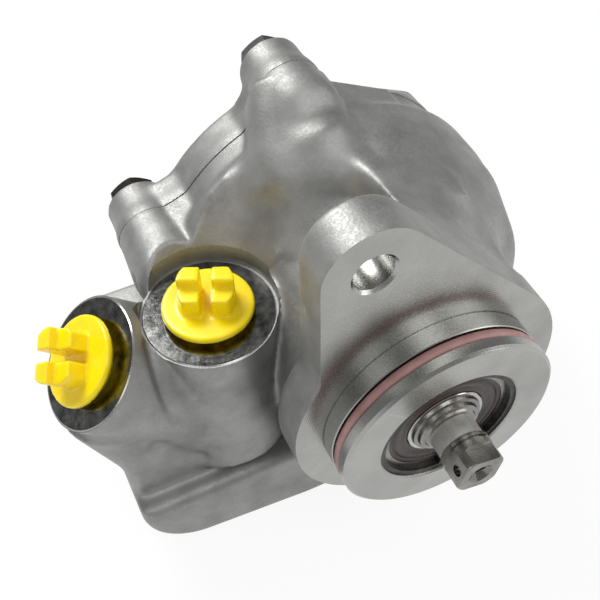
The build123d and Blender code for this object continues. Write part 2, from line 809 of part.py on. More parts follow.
def pin_holes(radius, front_y, rear_y):
    cuts = []
    for angle in (locating_pin_angle, locating_pin_angle + 180):
        x, z = polar(locating_pin_circle_diameter / 2, angle)
        cuts.append(disc(radius, front_y, rear_y, x, z))
    return cuts


def cam_ring():
    body = slab(Circle(cartridge_radius) - cam_curve(), cam_front_y, cam_rear_y)
    for cut in pin_holes(locating_pin_diameter / 2, cam_front_y - 1, cam_rear_y + 1):
        body -= cut
    return body


def pressure_plate(front_y, rear_y, bore_radius, ports_at_front):
    """A side plate with two kidney ports and a bore for the shaft."""
    body = ring(cartridge_radius, bore_radius, front_y, rear_y)
    for angle in (45, 225):
        kidney = turned(Pos(cam_minor_radius - 1.5, (front_y + rear_y) / 2) * Rectangle(4.0, 40), 50)
        kidney = about_shaft(kidney, angle + 25)
        side_front = front_y - 1 if ports_at_front else rear_y - 4
        body -= kidney & disc(cartridge_radius, side_front, rear_y + 1)
    for cut in pin_holes(locating_pin_diameter / 2, front_y - 1, rear_y + 1):
        body -= cut
    return body


def front_plate():
    body = pressure_plate(front_plate_y, cam_front_y, shaft_body_diameter / 2 + 0.6, True)
    seat = ring(cartridge_radius + 1, cartridge_radius - plate_seal_section, front_plate_y + 3,
                front_plate_y + 3 + plate_seal_section + 0.6)
    return body - seat


def front_plate_seal():
    return o_ring(cartridge_radius - plate_seal_section / 2, plate_seal_section - 0.05,
                  front_plate_y + 3 + plate_seal_section / 2 + 0.3)


def rear_plate():
    return pressure_plate(cam_rear_y, rear_plate_rear_y, shaft_body_diameter / 2 + 3.0, False)


def plate_spring():
    """The wave spring that loads the front plate, drawn at its fitted height."""
    middle = cavity_radius - 8
    band = ring(middle + 3, middle - 3, cavity_front_y, cavity_front_y + wave_spring_thickness)
    for number in range(4):
        x, z = polar(middle, 90 * number + 10)
        band += disc(2.4, cavity_front_y, cavity_front_y + plate_spring_gap, x, z)
    return band


def rotor_slots():
    for number in range(vane_count):
        yield 360 / vane_count * number + 18


def rotor():
    outline = Circle(rotor_diameter / 2) - splined_section(0.04)
    slot_width = vane_thickness + 2 * vane_slot_clearance
    for angle in rotor_slots():
        slot = Pos(rotor_diameter / 2 - vane_slot_depth, 0) * Rectangle(
            vane_slot_depth + 2, slot_width, align=(Align.MIN, Align.CENTER))
        foot = Pos(rotor_diameter / 2 - vane_slot_depth, 0) * Circle(vane_foot_diameter / 2)
        outline -= Rot(0, 0, angle) * (slot + foot)
    return slab(outline, cam_front_y + side_clearance, cam_rear_y - side_clearance)


def vane(angle):
    """A vane with a rounded tip, drawn just clear of the cam ring's smallest radius."""
    tip_radius = cam_minor_radius - vane_tip_clearance
    outline = Pos(tip_radius - vane_height, 0) * Rectangle(
        vane_height, vane_thickness, align=(Align.MIN, Align.CENTER))
    outline &= Pos(tip_radius - 1.4, 0) * Circle(1.4) + Pos(tip_radius - vane_height, 0) * Rectangle(
        vane_height - 0.5, vane_thickness, align=(Align.MIN, Align.CENTER))
    return slab(Rot(0, 0, angle) * outline, cam_front_y + side_clearance, cam_rear_y - side_clearance)


def locating_pins():
    pins = []
    for angle in (locating_pin_angle, locating_pin_angle + 180):
        x, z = polar(locating_pin_circle_diameter / 2, angle)
        pins.append(disc(locating_pin_diameter / 2, front_plate_y + 1, rear_plate_rear_y + 5, x, z))
    return Compound(children=pins)


def rear_bush():
    return ring(bush_outside_diameter / 2, shaft_body_diameter / 2 + bush_clearance,
                rear_plate_rear_y + 1, rear_plate_rear_y + 1 + bush_length - 1)


def rotor_clip():
    inner = shaft_body_diameter / 2 - rotor_clip_depth
    clip = Circle(inner + 2.4) - Circle(inner)
    clip -= Rectangle(inner + 4, 4.0, align=(Align.MIN, Align.CENTER))
    front = cam_rear_y + side_clearance
    return slab(clip, front, front + rotor_clip_thickness)


# Flow control valve, on its own axis along Y

def on_valve_axis(shape):
    return Pos(*valve_axis_place) * shape


def coil(diameter, wire, turns, front_y, rear_y):
    """A helical spring lying along Y, ground flat by its straight run-out at each end."""
    height = rear_y - front_y - wire
    path = Helix(pitch=height / turns, height=height, radius=diameter / 2)
    profile = Plane(origin=path @ 0, z_dir=path % 0) * Circle(wire / 2)
    spring = sweep(profile, path=path)
    return Pos(0, rear_y - wire / 2, 0) * Rot(90, 0, 0) * spring


def spool_front_y():
    return valve_bore_front_y + spool_stop_gap


def flow_valve_spool():
    front = spool_front_y()
    rear = front + spool_length
    land = valve_bore_diameter / 2 - spool_clearance
    waist = spool_waist_diameter / 2
    cavity = spool_cavity_diameter / 2
    profile = make_face(Polyline([
        (0, front), (land - 0.6, front), (land, front + 0.6), (land, front + spool_land_length),
        (waist, front + spool_land_length), (waist, rear - spool_land_length * 1.4),
        (land, rear - spool_land_length * 1.4), (land, rear), (cavity, rear),
        (cavity, front + spool_front_wall), (0, front + spool_front_wall)], close=True))
    return on_valve_axis(turned(profile))


def relief_seat():
    """The seat piece pressed into the spool, with a coned mouth for the ball."""
    front = spool_front_y() + spool_length - relief_seat_length
    rear = front + relief_seat_length
    bore = relief_seat_bore / 2
    outer = spool_cavity_diameter / 2
    profile = make_face(Polyline([(bore + 1.2, front), (outer, front), (outer, rear), (bore, rear),
                                  (bore, front + 1.2)], close=True))
    return on_valve_axis(turned(profile))


def relief_ball_place():
    """Where the ball rests: on the cone of the seat, a hair off it."""
    seat_front = spool_front_y() + spool_length - relief_seat_length
    radius = relief_ball_diameter / 2
    contact = relief_seat_bore / 2 + 1.2
    return seat_front - sqrt(radius * radius - min(contact, radius * 0.94) ** 2) - 0.05


def relief_ball():
    return on_valve_axis(Pos(0, relief_ball_place(), 0) * Sphere(relief_ball_diameter / 2))


def relief_spring():
    front = spool_front_y() + spool_front_wall
    rear = relief_ball_place() - relief_ball_diameter / 2 - relief_travel
    return on_valve_axis(coil(relief_spring_diameter - relief_spring_wire, relief_spring_wire,
                              relief_spring_turns, front, rear))


def valve_plug():
    shoulder = block_rear_y
    thread = disc(valve_plug_thread_diameter / 2, shoulder - valve_plug_thread_length, shoulder)
    collar = disc(valve_plug_flange_diameter / 2, shoulder, shoulder + 2.0)
    head_outline = RegularPolygon(valve_plug_hex_across_flats / 2, 6, major_radius=False)
    head = slab(head_outline, shoulder + 2.0, shoulder + 2.0 + valve_plug_hex_height)
    head = chamfer(head.faces().sort_by(Axis.Y)[-1].edges(), 1.0)
    plug = thread + collar + head
    plug -= disc(valve_spring_diameter / 2 + 0.4, shoulder - valve_plug_thread_length - 1, shoulder - 4)
    plug -= ring(valve_plug_thread_diameter / 2 + 1, valve_plug_thread_diameter / 2 - valve_plug_seal_section,
                 shoulder - valve_plug_seal_section - 0.4, shoulder)
    return on_valve_axis(plug)


def valve_plug_seal():
    y = block_rear_y - (valve_plug_seal_section + 0.4) / 2
    return on_valve_axis(o_ring(valve_plug_thread_diameter / 2 - valve_plug_seal_section / 2,
                                valve_plug_seal_section - 0.05, y))


def flow_valve_spring():
    front = spool_front_y() + spool_length
    rear = block_rear_y - 4
    return on_valve_axis(coil(valve_spring_diameter - valve_spring_wire, valve_spring_wire,
                              valve_spring_turns, front, rear))


# Protective port plugs

def port_plug(name, turn):
    """A moulded plug: a hollow shank, a collar that seats on the port, a flange and two slotted grips."""
    shank_radius = port_thread_diameter / 2 - plug_shank_clearance
    shank = Cylinder(shank_radius, plug_shank_length, align=(Align.CENTER, Align.CENTER, Align.MAX))
    hollow = Cylinder(shank_radius - plug_shank_wall, plug_shank_length - 2.0,
                      align=(Align.CENTER, Align.CENTER, Align.MAX))
    collar = Cylinder(plug_collar_diameter / 2, plug_stand_off, align=(Align.CENTER, Align.CENTER, Align.MIN))
    flange_disc = Cylinder(plug_flange_diameter / 2, plug_flange_thickness,
                           align=(Align.CENTER, Align.CENTER, Align.MIN))
    flange_disc = fillet(flange_disc.edges().sort_by(Axis.Z)[-1], 0.8)
    grip_outline = Circle(plug_grip_diameter / 2) & Rectangle(plug_grip_length, plug_grip_diameter)
    grip_outline -= Rectangle(plug_grip_length * 2, plug_slot_width)
    tall_side = Rectangle(plug_grip_length, plug_grip_diameter * 2, align=(Align.MIN, Align.CENTER))
    low = extrude(grip_outline, amount=plug_flange_thickness + plug_grip_low_height)
    tall = extrude(grip_outline & tall_side, amount=plug_flange_thickness + plug_grip_height)
    grips = low + tall
    top = flange_disc + Rot(0, 0, turn) * grips
    plug = shank - Pos(0, 0, -2.0) * hollow + collar + Pos(0, 0, plug_stand_off) * top
    return port_plane(name).location * (Pos(0, 0, -port_spotface_depth) * plug)


parts = {
    "housing": housing,
    "rear_cover": rear_cover,
    "cover_seal": cover_seal,
    "cover_screws": cover_screws,
    "pilot_o_ring": pilot_o_ring,
    "drive_shaft": drive_shaft,
    "bearing_outer_ring": bearing_outer_ring,
    "bearing_inner_ring": bearing_inner_ring,
    "bearing_balls": bearing_balls,
    "bearing_cage": bearing_cage,
    "bearing_shield": bearing_shield,
    "bearing_snap_ring": bearing_snap_ring,
    "shaft_seal": shaft_seal,
    "shaft_seal_spring": shaft_seal_spring,
    "plate_spring": plate_spring,
    "front_plate": front_plate,
    "front_plate_seal": front_plate_seal,
    "cam_ring": cam_ring,
    "rotor": rotor,
    "rear_plate": rear_plate,
    "locating_pins": locating_pins,
    "rear_bush": rear_bush,
    "rotor_clip": rotor_clip,
    "flow_valve_spool": flow_valve_spool,
    "flow_valve_spring": flow_valve_spring,
    "relief_seat": relief_seat,
    "relief_ball": relief_ball,
    "relief_spring": relief_spring,
    "valve_plug": valve_plug,
    "valve_plug_seal": valve_plug_seal,
}


def main():
    os.makedirs("parts", exist_ok=True)
    for name, build in parts.items():
        export_step(build(), f"parts/{name}.step")
    for number, angle in enumerate(rotor_slots(), start=1):
        export_step(vane(angle), f"parts/vane_{number:02d}.step")
    export_step(port_plug("upright", upright_plug_turn), "parts/upright_port_plug.step")
    export_step(port_plug("side", side_plug_turn), "parts/side_port_plug.step")


main()
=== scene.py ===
from math import cos, pi, radians, sin

import bmesh
import bpy
import numpy as np
from mathutils import Matrix, Vector


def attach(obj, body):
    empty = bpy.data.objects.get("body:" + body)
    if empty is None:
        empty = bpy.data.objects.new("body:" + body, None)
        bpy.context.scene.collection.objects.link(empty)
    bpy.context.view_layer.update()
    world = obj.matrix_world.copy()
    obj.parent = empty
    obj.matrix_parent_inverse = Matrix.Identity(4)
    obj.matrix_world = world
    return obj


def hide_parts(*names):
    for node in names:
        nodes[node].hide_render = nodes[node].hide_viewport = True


# Looks of a vane-type power steering pump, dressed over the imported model.
# Sizes are in millimetres and become metres where a mesh is made.

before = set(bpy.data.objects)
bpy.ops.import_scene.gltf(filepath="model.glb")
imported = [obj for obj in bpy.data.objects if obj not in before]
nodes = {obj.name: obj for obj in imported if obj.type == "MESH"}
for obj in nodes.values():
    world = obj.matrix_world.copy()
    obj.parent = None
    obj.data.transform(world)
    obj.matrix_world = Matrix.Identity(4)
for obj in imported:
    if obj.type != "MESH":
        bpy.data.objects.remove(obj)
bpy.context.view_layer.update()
mm, metre = 0.001, 1000  # a millimetre in metres, and a metre in millimetres
print("frame loaded:", len(nodes), "nodes")


# Colours and materials

def linear(hexColour):
    parts = [int(hexColour[i:i + 2], 16) / 255 for i in (1, 3, 5)]
    return [c / 12.92 if c <= 0.04045 else ((c + 0.055) / 1.055) ** 2.4 for c in parts] + [1.0]


def addNode(tree, kind, values=None, links=None, **settings):
    node = tree.nodes.new(kind)
    for name, value in settings.items():
        setattr(node, name, value)
    for name, value in (values or {}).items():
        node.inputs[name].default_value = value
    for name, socket in (links or {}).items():
        tree.links.new(socket, node.inputs[name])
    return node


# Each finish starts from the real metal, rubber or plastic. patch, grain, swell and rings are widths
# of its stains (on the spotface, blotches of painted reflection), grit, ripples and tool marks in millimetres,
# and each depth is how deep they cut.
finishes = {
    # Sand-blasted die casting: satin grey, a fine grit in the highlights, slightly stained in patches
    "castAluminium": {"colour": "#9d9d9b", "stain": "#858583", "patch": 16, "metallic": 0.9,
                      "roughness": (0.46, 0.64), "grain": 0.9, "depth": 0.07,
                      "swell": 3.2, "swellDepth": 0.02},
    # Face-turned aluminium: brighter and smoother, with faint rings left by the tool
    "turnedAluminium": {"colour": "#a9a9a6", "stain": "#979794", "patch": 26, "metallic": 1.0,
                        "roughness": (0.25, 0.31), "grain": 0.9, "depth": 0.002, "spun": 0.55,
                        "rings": 0.9, "ringDepth": 0.004},
    # Spot-faced sealing ring: its dark grey colour with light and dark blotches is painted reflection, a dark
    # mirror with glints
    "spotfacePaintedReflection": {"colour": "#83837f", "stain": "#3c3d40", "patch": 4, "metallic": 1.0,
                      "roughness": (0.08, 0.2), "grain": 0.8, "depth": 0.006},
    # Ground and polished bearing steel, slightly blue
    "polishedSteel": {"colour": "#bab9b4", "stain": "#a3a29d", "patch": 8, "metallic": 1.0,
                      "roughness": (0.12, 0.2), "grain": 0.6, "depth": 0.002,
                      "rings": 0.7, "ringDepth": 0.003},
    # Hardened and ground steel, darkened by heat: shaft, outer bearing ring, rotor
    "groundSteel": {"colour": "#8f8d88", "stain": "#6f6c67", "patch": 6, "metallic": 1.0,
                    "roughness": (0.2, 0.34), "grain": 0.5, "depth": 0.004},
    # Shaft nose, cylindrically ground, with fine streaks round the axis: ground steel is bright, and its
    # colour is made lighter still as a painted highlight
    "spunSteelPaintedHighlight": {"colour": "#dcdad4", "stain": "#bcbab4", "patch": 4, "metallic": 0.6,
                  "roughness": (0.38, 0.46), "grain": 0.6, "depth": 0.004, "spun": 0.7,
                  "rings": 0.8, "ringDepth": 0.003},
    # Pressed steel of cage and shield ring
    "pressedSteel": {"colour": "#9a9892", "stain": "#807d76", "patch": 5, "metallic": 1.0,
                     "roughness": (0.28, 0.4), "grain": 0.6, "depth": 0.004},
    # Phosphated spring steel: near black with a grey edge
    "phosphatedSteel": {"colour": "#4a4946", "stain": "#2c2a28", "patch": 4, "metallic": 0.8,
                        "roughness": (0.3, 0.5), "grain": 0.5, "depth": 0.01},
    # Black oxide bolt heads with a brown bloom
    "blackOxide": {"colour": "#2b2522", "stain": "#15161a", "patch": 6, "metallic": 0.7,
                   "roughness": (0.28, 0.45), "grain": 0.6, "depth": 0.008},
    # Sintered iron plates, dull and porous
    "sinteredIron": {"colour": "#6f6d69", "stain": "#5a5854", "patch": 9, "metallic": 0.9,
                     "roughness": (0.42, 0.58), "grain": 0.5, "depth": 0.02},
    # Bearing bronze of the rear bush
    "bearingBronze": {"colour": "#b08a55", "stain": "#95703f", "patch": 6, "metallic": 1.0,
                      "roughness": (0.25, 0.38), "grain": 0.6, "depth": 0.004},
    # Moulded polyethylene cap: bright yellow, glossy, slightly translucent
    "capPlastic": {"colour": "#f7dc0a", "stain": "#f0d006", "patch": 12, "metallic": 0.0,
                   "roughness": (0.2, 0.3), "grain": 1.5, "depth": 0.012, "glow": 0.3},
    # Dusty fluoro rubber of the pilot ring: pinkish brown, matt with a soft sheen
    "dustyRubber": {"colour": "#ad8582", "stain": "#97706d", "patch": 7, "metallic": 0.0,
                    "roughness": (0.42, 0.58), "grain": 0.6, "depth": 0.012},
    # Nitrile rubber of seals, black brown
    "nitrileRubber": {"colour": "#37241f", "stain": "#191413", "patch": 5, "metallic": 0.0,
                      "roughness": (0.3, 0.5), "grain": 0.6, "depth": 0.01},
}


def makeFinish(name, look):
    material = bpy.data.materials.new(name)
    material.use_nodes = True
    tree = material.node_tree
    shader = tree.nodes["Principled BSDF"]
    place = addNode(tree, "ShaderNodeTexCoord").outputs["Object"]
    patch = addNode(tree, "ShaderNodeTexNoise",
                    {"Scale": metre / look["patch"], "Detail": 5.0, "Roughness": 0.6}, {"Vector": place})
    spread = addNode(tree, "ShaderNodeMapRange", {"From Min": 0.35, "From Max": 0.68},
                     {"Value": patch.outputs[0]})
    colour = addNode(tree, "ShaderNodeMix", {6: linear(look["colour"]), 7: linear(look["stain"])},
                     {0: spread.outputs[0]}, data_type="RGBA")
    tree.links.new(colour.outputs[2], shader.inputs["Base Color"])
    grit = addNode(tree, "ShaderNodeTexNoise",
                   {"Scale": metre / look["grain"], "Detail": 3.0, "Roughness": 0.65}, {"Vector": place})
    low, high = look["roughness"]
    gloss = addNode(tree, "ShaderNodeMapRange",
                    {"From Min": 0.3, "From Max": 0.7, "To Min": low, "To Max": high},
                    {"Value": grit.outputs[0]})
    tree.links.new(gloss.outputs[0], shader.inputs["Roughness"])
    shader.inputs["Metallic"].default_value = look["metallic"]
    if look["metallic"] == 0:
        shader.inputs["IOR"].default_value = 1.5
    if "spun" in look:
        # marks run round the shaft axis, so the gloss is drawn out across them
        across = addNode(tree, "ShaderNodeVectorMath", {1: (0, 1, 0)}, {0: place},
                         operation="CROSS_PRODUCT")
        way = addNode(tree, "ShaderNodeVectorTransform", None, {0: across.outputs[0]},
                      vector_type="VECTOR", convert_from="OBJECT", convert_to="WORLD")
        tree.links.new(way.outputs[0], shader.inputs["Tangent"])
        shader.inputs["Anisotropic"].default_value = look["spun"]
    if "glow" in look:
        shader.inputs["Subsurface Weight"].default_value = look["glow"]
        shader.inputs["Subsurface Radius"].default_value = (0.003, 0.0027, 0.0005)
        shader.inputs["Subsurface Scale"].default_value = 1.0
    bump = addNode(tree, "ShaderNodeBump", {"Strength": 1.0, "Distance": look["depth"] * mm},
                   {"Height": grit.outputs[0]})
    if "swell" in look:
        swell = addNode(tree, "ShaderNodeTexNoise", {"Scale": metre / look["swell"], "Detail": 2.0},
                        {"Vector": place})
        bump = addNode(tree, "ShaderNodeBump", {"Strength": 1.0, "Distance": look["swellDepth"] * mm},
                       {"Height": swell.outputs[0], "Normal": bump.outputs[0]})
    if "rings" in look:
        flat = addNode(tree, "ShaderNodeVectorMath", {1: (1, 0, 1)}, {0: place}, operation="MULTIPLY")
        reach = addNode(tree, "ShaderNodeVectorMath", None, {0: flat.outputs[0]}, operation="LENGTH")
        turns = addNode(tree, "ShaderNodeMath", {1: 2 * metre * pi / look["rings"]},
                        {0: reach.outputs["Value"]}, operation="MULTIPLY")
        wave = addNode(tree, "ShaderNodeMath", None, {0: turns.outputs[0]}, operation="SINE")
        bump = addNode(tree, "ShaderNodeBump", {"Strength": 1.0, "Distance": look["ringDepth"] * mm},
                       {"Height": wave.outputs[0], "Normal": bump.outputs[0]})
    tree.links.new(bump.outputs[0], shader.inputs["Normal"])
    return material


materials = {name: makeFinish(name, look) for name, look in finishes.items()}
print("materials made:", len(materials))


# Mesh helpers

def toObject(name, bm, finish="castAluminium"):
    mesh = bpy.data.meshes.new(name)
    bm.to_mesh(mesh)
    bm.free()
    piece = bpy.data.objects.new(name, mesh)
    bpy.context.scene.collection.objects.link(piece)
    mesh.materials.append(materials[finish])
    return piece


def facingAlong(axis):
    return Vector(axis).to_track_quat("Z", "Y").to_matrix().to_4x4()


def turned(name, profile, origin=(0, 0, 0), axis=(0, 1, 0), steps=128, finish="castAluminium", index=0):
    # profile is a closed outline of (along, radius) points; index is one finish, or one for each run of it
    bm = bmesh.new()
    rings = []
    for n in range(steps):
        angle = 2 * pi * n / steps
        rings.append([bm.verts.new((r * cos(angle), r * sin(angle), h)) for h, r in profile])
    for n, here in enumerate(rings):
        there = rings[(n + 1) % steps]
        for k in range(len(profile)):
            m = (k + 1) % len(profile)
            bm.faces.new((here[k], here[m], there[m], there[k])).material_index = k
    bmesh.ops.remove_doubles(bm, verts=bm.verts, dist=1e-4)
    bmesh.ops.recalc_face_normals(bm, faces=bm.faces)
    for face in bm.faces:
        face.material_index = index if isinstance(index, int) else index[face.material_index]
    place = Matrix.Translation(Vector(origin) * mm) @ facingAlong(axis)
    bm.transform(place @ Matrix.Scale(mm, 4))
    return toObject(name, bm, finish)


def taper(start, end, startRadius, endRadius, index=0):
    axis = Vector(end) - Vector(start)
    profile = [(0, 0), (0, startRadius), (axis.length, endRadius), (axis.length, 0)]
    return turned("taper", profile, start, axis, 64, index=index)


def rod(start, end, radius, index=0):
    return taper(start, end, radius, radius, index)


def box(low, high, index=0):
    bm = bmesh.new()
    bmesh.ops.create_cube(bm, size=1)
    size = Vector(high) - Vector(low)
    for vert in bm.verts:
        vert.co = [(low[i] + (vert.co[i] + 0.5) * size[i]) * mm for i in range(3)]
    for face in bm.faces:
        face.material_index = index
    return toObject("box", bm)


def hull(points):
    bm = bmesh.new()
    for point in points:
        bm.verts.new(Vector(point) * mm)
    bmesh.ops.convex_hull(bm, input=bm.verts)
    loose = [v for v in bm.verts if not v.link_faces]
    bmesh.ops.delete(bm, geom=loose, context="VERTS")
    bmesh.ops.recalc_face_normals(bm, faces=bm.faces)
    return toObject("hull", bm)


def applied(piece):
    graph = bpy.context.evaluated_depsgraph_get()
    mesh = bpy.data.meshes.new_from_object(piece.evaluated_get(graph))
    piece.modifiers.clear()
    piece.data = mesh
    return piece


def joined(name, pieces):
    # one object from several meshes, with the doubles of each merged
    bm = bmesh.new()
    for piece in pieces:
        bm.from_mesh(piece.data)
    bmesh.ops.remove_doubles(bm, verts=bm.verts, dist=1e-6)
    return toObject(name, bm)


def discard(pieces):
    for piece in pieces:
        bpy.data.objects.remove(piece)


def carve(body, tools, operation="DIFFERENCE"):
    for tool in tools:
        cut = body.modifiers.new("cut", "BOOLEAN")
        cut.operation, cut.solver, cut.object = operation, "MANIFOLD", tool
    applied(body)
    discard(tools)
    return body


def shaded(piece, angle=32):
    piece.data.polygons.foreach_set("use_smooth", [True] * len(piece.data.polygons))
    piece.data.set_sharp_from_angle(angle=radians(angle))
    return piece


def readPoints(mesh, field="co"):
    values = np.empty(len(mesh.vertices) * 3)
    mesh.vertices.foreach_get(field, values)
    return values.reshape(-1, 3)


def movePoints(mesh, place):
    mesh.vertices.foreach_set("co", place.ravel())
    mesh.update()


def distances(place, centre):
    return np.linalg.norm(place - np.array(centre) * mm, axis=1)


def relax(piece, passes, inner, outer, blends=(), blendPasses=0, crisp=None, keeps=()):
    # hollow corners fill by the inner share, outside edges wear by the outer one, and near a blend both flow;
    # a crisp band along Y and the neighbourhood of each kept point keep their corners
    mesh = piece.data
    count = len(mesh.vertices)
    place = readPoints(mesh)
    ends = np.empty(len(mesh.edges) * 2, np.int64)
    mesh.edges.foreach_get("vertices", ends)
    first, second = ends.reshape(-1, 2).T
    corners = np.empty(len(mesh.loops), np.int64)
    mesh.loops.foreach_get("vertex_index", corners)
    quads = corners.reshape(-1, 4)
    degree = np.bincount(ends, minlength=count)
    flow = np.zeros(count)
    for centre, radius in blends:
        away = distances(place, centre) / (radius * mm)
        flow = np.maximum(flow, np.clip(2 - 2 * away, 0, 1))
    wear = np.ones(count)
    if crisp:
        inside = np.clip((place[:, 1] / mm - crisp[0]) / 3, 0, 1)
        flow *= 1 - inside
        wear -= (1 - crisp[1]) * inside
    for centre, radius, share in keeps:
        away = distances(place, centre) / (radius * mm)
        wear = np.minimum(wear, share + (1 - share) * np.clip(4 * away - 3, 0, 1))
    for n in range(passes + blendPasses):
        middle = np.stack([np.bincount(first, place[second, k], count)
                           + np.bincount(second, place[first, k], count)
                           for k in range(3)], 1) / degree[:, None]
        pull = middle - place
        facing = np.cross(place[quads[:, 2]] - place[quads[:, 0]], place[quads[:, 3]] - place[quads[:, 1]])
        normal = np.stack([sum(np.bincount(quads[:, c], facing[:, k], count) for c in range(4))
                           for k in range(3)], 1)
        hollow = (pull * normal).sum(1) > 0
        share = np.where(hollow, inner, outer) * wear if n < passes else 0
        place += pull * np.maximum(share, 0.5 * flow)[:, None]
    movePoints(mesh, place)


def pressed(piece, strokes):
    # sinks a soft groove along each line of points, or raises a ridge where the depth is negative
    mesh = piece.data
    place, normal = readPoints(mesh), readPoints(mesh, "normal")
    shift = np.zeros(len(place))
    for reach, depth, points in strokes:
        away = np.full(len(place), 1e9)
        for start, end in zip(points, points[1:]):
            a, b = np.array(start) * mm, np.array(end) * mm
            share = np.clip((place - a) @ (b - a) / ((b - a) @ (b - a)), 0, 1)
            away = np.minimum(away, np.linalg.norm(place - a - share[:, None] * (b - a), axis=1))
        near = np.clip(1 - away / (reach * mm), 0, 1)
        shift += depth * mm * near * near * (3 - 2 * near)
    place -= normal * shift[:, None]
    movePoints(mesh, place)


def skin(name, pieces, voxel, passes, inner, outer, blends=(), blendPasses=0, crisp=None, keeps=()):
    # one closed skin over overlapping solids, with its corners rounded as a casting's or a moulding's are
    piece = joined(name, pieces)
    discard([p for p in pieces if p.name not in nodes])
    cover = piece.modifiers.new("skin", "REMESH")
    cover.mode, cover.voxel_size = "VOXEL", voxel * mm
    applied(piece)
    relax(piece, passes, inner, outer, blends, blendPasses, crisp, keeps)
    piece.data.materials.clear()
    return piece


def polar(radius, degrees):
    return radius * cos(radians(degrees)), radius * sin(radians(degrees))


def onCircle(radius, y, angles):
    # points of a circle round the shaft axis
    return [(x, y, z) for x, z in (polar(radius, angle) for angle in angles)]


def dress(piece, body, slotName, *replaced):
    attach(piece, body)
    if replaced:
        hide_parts(*replaced)
    return piece


# Cast housing: the rough casting first, then every machined face and bore cut into it
housing = {
    "voxel": 1.15, "passes": 12, "inner": 0.5, "outer": 0.12, "stock": 2.0,
    # near the joint face the corners wear less: where that starts along Y, and the share of wear left
    "crisp": (81.0, 0.3),
    # round the ports the corners stay tight: centre, reach, share of wear left
    "keeps": (((-60, 46, 28), 34, 0.25), ((-84, 40, 18), 26, 0.25)),
    # places where the foundry's pattern flows from one form into the next: centre and reach
    "blends": (((-12, 70, 72), 20), ((-26, 66, 62), 20), ((-19, 51, 53), 20), ((7, 54, 66), 27),
               ((20, 38, 59), 32), ((-3, 40, 56), 20), ((40, 28, 38), 18)),
    "blendPasses": 130,
    # the top lug's shoulder, wider than the cover's lug, and the slope from the pot down to the flange
    "shoulder": ((-9.6, 94, 68.2), (-20, 64, 50), 13.3, 15.0),
    "slope": ((-4, 60, 68), (2.3, 58.5, 64.1), (7.9, 41.7, 64.6), (13.9, 38.6, 60.4), (19.9, 35.4, 56.1),
              (26, 32.1, 51.7), (35.7, 32.9, 41.9), (45.7, 33.4, 31.8), (-4, 10, 76), (2.0, 10, 69),
              (10.5, 10, 59.5), (20, 10, 49.5), (29.5, 10, 39.5), (36, 10, 32), (0, 50, 30), (30, 30, 20),
              (0, 10, 30), (30, 10, 20)),
    # creases and hollows of the casting: reach, depth, line of points
    "strokes": ((3.4, 1.3, ((-82.1, 47.4, 29.9), (-83.6, 38.5, 31.7), (-84, 34, 28.2), (-84.2, 30.5, 23.9),
                            (-84.1, 27.6, 17.9), (-83.6, 25.9, 11.1), (-82.5, 24.8, 5.8))),
                (3.0, 1.6, ((-78.2, 72, 26), (-77.8, 69.1, 21.1), (-78, 66, 18))),
                (5.0, 1.1, ((-76.5, 27.1, -25.5), (-84, 27, -20), (-90, 27, -8)))),
    "flangeFace": 0.0, "parting": 92.0, "pilotRadius": 40.0, "pilotFront": -15.3, "undercut": 0.25,
    # front, rear and floor of the O-ring groove
    "groove": (-10.6, -6.3, 37.05),
    "bearingRadius": 26.0, "bearingFront": -12.1, "bearingRear": 2.9, "bearingShoulder": 16,
    "snapGroove": 27.5,
    # start, end and radius of the seal's pocket and of the pump chamber, with the throat between them
    "sealPocket": (6, 13, 17.5), "throat": 11.5, "chamber": (48, 96, 37.5),
    "ears": ((-23.8, 75.3), (18.1, -57.2)), "earHole": 6.75, "earThickness": 16.0,
    "screwCircle": 68.5, "screwAngles": (96.7, 159.7, 238.0, 292.0, 346.0), "screwBore": 5,
    "screwBoreFront": 73.5, "screwBoreRear": 95,
    # centre of the sealing face, direction and depth
    "ports": (((-60.1, 45.9, 28.2), (0, 0, 1), 18.0),
              ((-103.1, 48.3, 21.8), (-sin(radians(44.3)), 0, cos(radians(44.3))), 30.0)),
    "bossRadius": 23.0, "spotface": 22.2, "spotfaceDepth": 0.6, "portBore": 12.2,
    "valve": (-68.0, -36.0), "valveFront": 30.0, "valveBore": 9, "plugBore": 11, "plugDepth": 12,
    "blockRear": 88.0, "blockFacing": 16,
}
wide = 150  # wider than the pump on every side
castIndex, turnedIndex, spotIndex = 0, 1, 2


def along(origin, axis, distance):
    return Vector(origin) + Vector(axis) * distance


def passages(growth):
    # drilled ways between ports, valve and pump chamber
    h = housing
    side, sideAxis, _ = h["ports"][1]
    top = h["ports"][0][0]
    return [rod(along(top, (0, 0, 1), -10), (top[0], top[1], h["valve"][1]), 6.0 + growth, turnedIndex),
            rod(along(side, sideAxis, -26), (-36.5, 79.4, -2), 7.0 + growth, turnedIndex),
            rod((-28.5, 49.0, -18), (h["valve"][0], 49.0, h["valve"][1]), 3.0 + growth, turnedIndex)]


def stock(node, low, high, shift):
    # a slice of the CAD solid moved along Y, so that a face can be cut clean through it
    slab = box((-wide, low, -wide), (wide, high, wide))
    piece = carve(joined("stock", [nodes[node]]), [slab], "INTERSECT")
    piece.data.transform(Matrix.Translation((0, shift * mm, 0)))
    return piece


